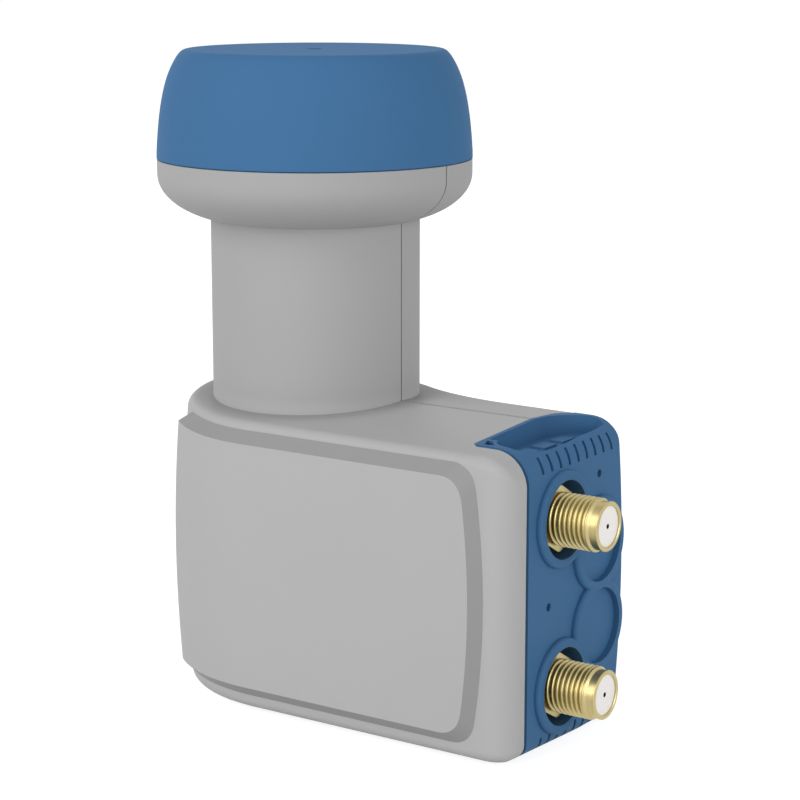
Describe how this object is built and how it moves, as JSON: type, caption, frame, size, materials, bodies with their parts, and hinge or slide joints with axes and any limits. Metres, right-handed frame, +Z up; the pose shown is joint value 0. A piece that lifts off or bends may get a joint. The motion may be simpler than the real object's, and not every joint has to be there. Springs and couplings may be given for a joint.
{
  "type": "satellite low-noise block converter",
  "caption": "Satellite dish feed head with a round blue cap, grey neck and flat grey housing, and a blue end cover with threaded aerial connectors.",
  "frame": {"origin": "point where the neck axis meets the base plane", "axes": "+Z up the neck towards the cap, +X towards the connectors, -Y out of the broad raised panel"},
  "size_m": [0.1001, 0.06, 0.1235],
  "materials": {
    "housing_plastic": "light grey, fine matt texture",
    "cap_plastic": "mid blue, satin",
    "cover_plastic": "mid blue, satin",
    "connector_metal": "gold tinted plating, bright",
    "insulator_plastic": "warm white",
    "contact_brass": "bright",
    "seal_rubber": "matt black",
    "casting": "as cast",
    "lid_metal": "satin",
    "screw_steel": "bright",
    "board_laminate": "green lacquer",
    "chip_plastic": "matt black",
    "component_ceramic": "plain"
  },
  "bodies": {
    "root": {"front_shell": "housing_plastic", "rear_shell": "housing_plastic", "feed_cap": "cap_plastic", "connector_cover": "cover_plastic", "connector_body_upper": "connector_metal", "connector_body_lower": "connector_metal", "connector_insulator_upper": "insulator_plastic", "connector_insulator_lower": "insulator_plastic", "connector_contact_upper": "contact_brass", "connector_contact_lower": "contact_brass", "connector_seal_upper": "seal_rubber", "connector_seal_lower": "seal_rubber", "feed_cap_seal": "seal_rubber", "cast_chassis": "casting", "chamber_lid": "lid_metal", "lid_gasket": "seal_rubber", "lid_screws": "screw_steel", "circuit_board": "board_laminate", "low_noise_transistors": "chip_plastic", "oscillator_chip": "chip_plastic", "voltage_regulator": "chip_plastic", "chip_capacitors": "component_ceramic", "resonator_low": "component_ceramic", "resonator_high": "component_ceramic", "tuning_screws": "screw_steel", "cross_probe": "contact_brass", "side_probe": "contact_brass", "probe_bushings": "insulator_plastic", "isolation_post": "contact_brass"}
  },
  "joints": []
}
